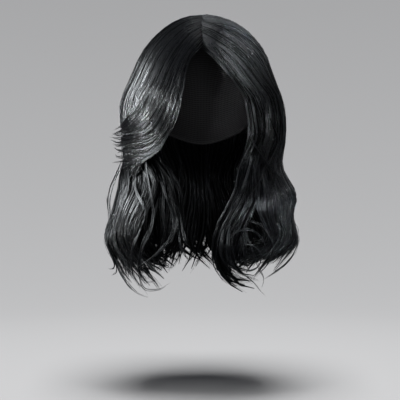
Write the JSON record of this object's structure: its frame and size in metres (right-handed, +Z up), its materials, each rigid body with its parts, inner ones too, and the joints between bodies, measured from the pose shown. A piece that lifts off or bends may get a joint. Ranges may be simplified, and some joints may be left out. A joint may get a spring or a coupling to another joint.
{
  "type": "wavy wig",
  "caption": "Shoulder-length wavy wig: a thin cap with a middle parting, long wavy locks round the sides and back, and a fringe swept off the face.",
  "frame": {"origin": "inside the crown of the cap, where the top of the head bears", "axes": "+Z up along the height, -Y out of the face opening, +X to the wearer's left"},
  "size_m": [0.2198, 0.2172, 0.3087],
  "materials": {
    "hair": "near-black synthetic hair with a soft cool sheen",
    "cap_net": "matt black stretch net"
  },
  "bodies": {
    "root": {"cap": "cap_net", "front_lock_left": "hair", "side_lock_left_1": "hair", "side_lock_left_2": "hair", "side_lock_left_3": "hair", "back_lock_1": "hair", "back_lock_2": "hair", "back_lock_3": "hair", "back_lock_4": "hair", "back_lock_5": "hair", "back_lock_6": "hair", "side_lock_right_3": "hair", "side_lock_right_2": "hair", "side_lock_right_1": "hair", "front_lock_right": "hair", "fringe_swoop": "hair", "fringe_right_1": "hair", "fringe_right_2": "hair", "fringe_right_3": "hair", "fringe_left_1": "hair", "fringe_left_2": "hair"}
  },
  "joints": []
}
